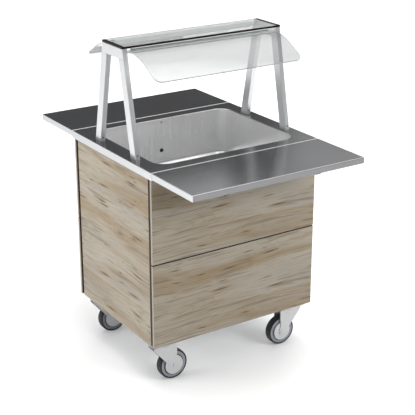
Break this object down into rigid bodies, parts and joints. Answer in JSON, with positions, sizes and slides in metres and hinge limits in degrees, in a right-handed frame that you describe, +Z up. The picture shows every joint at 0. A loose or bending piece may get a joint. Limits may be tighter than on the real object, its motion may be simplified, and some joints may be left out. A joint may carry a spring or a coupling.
{
  "type": "food service trolley",
  "caption": "Serving trolley with wood panels, sunken food well, folding shelves on both long sides, sneeze guard and swivel casters.",
  "frame": {"origin": "on the floor under the centre of the worktop", "axes": "+Z up; +X along the panelled long side, to the guests' right; -Y towards the guests (front shelf)"},
  "size_m": [0.765, 1.184, 1.313],
  "materials": {
    "top_steel": "satin brushed stainless steel",
    "basin_steel": "satin drawn stainless steel",
    "guard_steel": "fine brushed stainless tube",
    "tube_steel": "brushed stainless tube and sheet",
    "post_black": "matt black powder coat",
    "wood_panel": "grey oak laminate, horizontal grain",
    "foam": "insulating foam",
    "valve_brass": "nickelled brass casting",
    "lever_plastic": "black plastic coating",
    "fitting_dark": "dark polished fitting",
    "zinc_steel": "bright zinc plate",
    "screw_dark": "blackened steel",
    "shelf_glass": "toughened glass with dark edge",
    "pane_clear": "clear curved pane",
    "rail_dark": "dark anodised profile",
    "wheel_grey": "grey moulded plastic",
    "tyre_black": "dark grey rubber tread",
    "pedal_plastic": "dark plastic pedal"
  },
  "bodies": {
    "carcass": {"base_frame": "tube_steel", "corner_posts": "post_black", "top_rails": "tube_steel", "seam_profiles": "post_black", "floor_panel": "tube_steel", "front_panel_lower": "wood_panel", "front_panel_upper": "wood_panel", "rear_panel_lower": "wood_panel", "rear_panel_upper": "wood_panel", "side_panel_left": "wood_panel", "side_panel_right": "wood_panel", "main_top": "top_steel", "well_basin": "basin_steel", "well_insulation": "foam", "well_casing": "tube_steel", "drain_strainer": "basin_steel", "drain_pipe": "tube_steel", "drain_valve": "valve_brass", "well_fittings": "fitting_dark", "shelf_wall_plates": "tube_steel", "shelf_hinge_pins": "zinc_steel", "bracket_screws": "zinc_steel", "guard_frame_left": "guard_steel", "guard_frame_right": "guard_steel", "guard_spigots": "tube_steel", "guard_screws": "screw_dark", "glass_shelf": "shelf_glass", "caster_plates": "zinc_steel", "caster_bolts": "zinc_steel"},
    "drain_lever": {"drain_lever": "lever_plastic"},
    "front_pane": {"front_pane": "pane_clear", "front_pane_rail": "rail_dark"},
    "rear_pane": {"rear_pane": "pane_clear", "rear_pane_rail": "rail_dark"},
    "front_shelf": {"front_shelf": "top_steel", "front_shelf_arms": "tube_steel"},
    "rear_shelf": {"rear_shelf": "top_steel", "rear_shelf_arms": "tube_steel"},
    "front_upper_links": {"front_upper_links": "zinc_steel"},
    "rear_upper_links": {"rear_upper_links": "zinc_steel"},
    "front_lower_links": {"front_lower_links": "zinc_steel"},
    "rear_lower_links": {"rear_lower_links": "zinc_steel"},
    "caster_front_left": {"fork_front_left": "zinc_steel", "axle_front_left": "zinc_steel"},
    "wheel_front_left": {"wheel_front_left": "wheel_grey", "tyre_front_left": "tyre_black"},
    "caster_front_right": {"fork_front_right": "zinc_steel", "axle_front_right": "zinc_steel"},
    "wheel_front_right": {"wheel_front_right": "wheel_grey", "tyre_front_right": "tyre_black"},
    "caster_rear_left": {"fork_rear_left": "zinc_steel", "axle_rear_left": "zinc_steel"},
    "wheel_rear_left": {"wheel_rear_left": "wheel_grey", "tyre_rear_left": "tyre_black"},
    "caster_rear_right": {"fork_rear_right": "zinc_steel", "axle_rear_right": "zinc_steel"},
    "wheel_rear_right": {"wheel_rear_right": "wheel_grey", "tyre_rear_right": "tyre_black"},
    "brake_rear_left": {"brake_pedal_rear_left": "pedal_plastic"},
    "brake_rear_right": {"brake_pedal_rear_right": "pedal_plastic"}
  },
  "joints": [
    {"name": "front_shelf_fold", "type": "hinge", "parent": "carcass", "child": "front_shelf", "pos_m": [0, -0.314, 0.845], "axis": [1, 0, 0], "range_deg": [0, 90]},
    {"name": "front_upper_link_turn", "type": "hinge", "parent": "front_shelf", "child": "front_upper_links", "pos_m": [0, -0.464, 0.861], "axis": [1, 0, 0], "range_deg": [0, 17.1]},
    {"name": "front_lower_link_turn", "type": "hinge", "parent": "carcass", "child": "front_lower_links", "pos_m": [0, -0.318, 0.8], "axis": [1, 0, 0], "range_deg": [-15.5, 0]},
    {"name": "front_pane_tilt", "type": "hinge", "parent": "carcass", "child": "front_pane", "pos_m": [0, -0.065, 1.29], "axis": [1, 0, 0], "range_deg": [-10, 60]},
    {"name": "rear_shelf_fold", "type": "hinge", "parent": "carcass", "child": "rear_shelf", "pos_m": [0, 0.314, 0.845], "axis": [-1, 0, 0], "range_deg": [0, 90]},
    {"name": "rear_upper_link_turn", "type": "hinge", "parent": "rear_shelf", "child": "rear_upper_links", "pos_m": [0, 0.464, 0.861], "axis": [-1, 0, 0], "range_deg": [0, 17.1]},
    {"name": "rear_lower_link_turn", "type": "hinge", "parent": "carcass", "child": "rear_lower_links", "pos_m": [0, 0.318, 0.8], "axis": [-1, 0, 0], "range_deg": [-15.5, 0]},
    {"name": "rear_pane_tilt", "type": "hinge", "parent": "carcass", "child": "rear_pane", "pos_m": [0, 0.065, 1.29], "axis": [-1, 0, 0], "range_deg": [-10, 60]},
    {"name": "drain_lever_turn", "type": "hinge", "parent": "carcass", "child": "drain_lever", "pos_m": [0.055, 0.241, 0.147], "axis": [0, 1, 0], "range_deg": [0, 90]},
    {"name": "front_left_swivel", "type": "hinge", "parent": "carcass", "child": "caster_front_left", "pos_m": [-0.305, -0.245, 0.1615], "axis": [0, 0, 1], "continuous": true},
    {"name": "front_left_roll", "type": "hinge", "parent": "caster_front_left", "child": "wheel_front_left", "pos_m": [-0.265, -0.245, 0.0625], "axis": [0, 1, 0], "continuous": true},
    {"name": "front_right_swivel", "type": "hinge", "parent": "carcass", "child": "caster_front_right", "pos_m": [0.305, -0.245, 0.1615], "axis": [0, 0, 1], "continuous": true},
    {"name": "front_right_roll", "type": "hinge", "parent": "caster_front_right", "child": "wheel_front_right", "pos_m": [0.265, -0.245, 0.0625], "axis": [0, 1, 0], "continuous": true},
    {"name": "rear_left_swivel", "type": "hinge", "parent": "carcass", "child": "caster_rear_left", "pos_m": [-0.305, 0.245, 0.1615], "axis": [0, 0, 1], "continuous": true},
    {"name": "rear_left_roll", "type": "hinge", "parent": "caster_rear_left", "child": "wheel_rear_left", "pos_m": [-0.265, 0.245, 0.0625], "axis": [0, 1, 0], "continuous": true},
    {"name": "rear_left_brake_press", "type": "hinge", "parent": "caster_rear_left", "child": "brake_rear_left", "pos_m": [-0.245, 0.245, 0.134], "axis": [0, 1, 0], "range_deg": [0, 10]},
    {"name": "rear_right_swivel", "type": "hinge", "parent": "carcass", "child": "caster_rear_right", "pos_m": [0.305, 0.245, 0.1615], "axis": [0, 0, 1], "continuous": true},
    {"name": "rear_right_roll", "type": "hinge", "parent": "caster_rear_right", "child": "wheel_rear_right", "pos_m": [0.265, 0.245, 0.0625], "axis": [0, 1, 0], "continuous": true},
    {"name": "rear_right_brake_press", "type": "hinge", "parent": "caster_rear_right", "child": "brake_rear_right", "pos_m": [0.245, 0.245, 0.134], "axis": [0, -1, 0], "range_deg": [0, 10]}
  ],
  "couplings": [
    {"joint": "front_upper_link_turn", "follows": "front_shelf_fold", "ratio": 0.1889},
    {"joint": "front_lower_link_turn", "follows": "front_shelf_fold", "ratio": -0.1712},
    {"joint": "rear_upper_link_turn", "follows": "rear_shelf_fold", "ratio": 0.1889},
    {"joint": "rear_lower_link_turn", "follows": "rear_shelf_fold", "ratio": -0.1712}
  ]
}
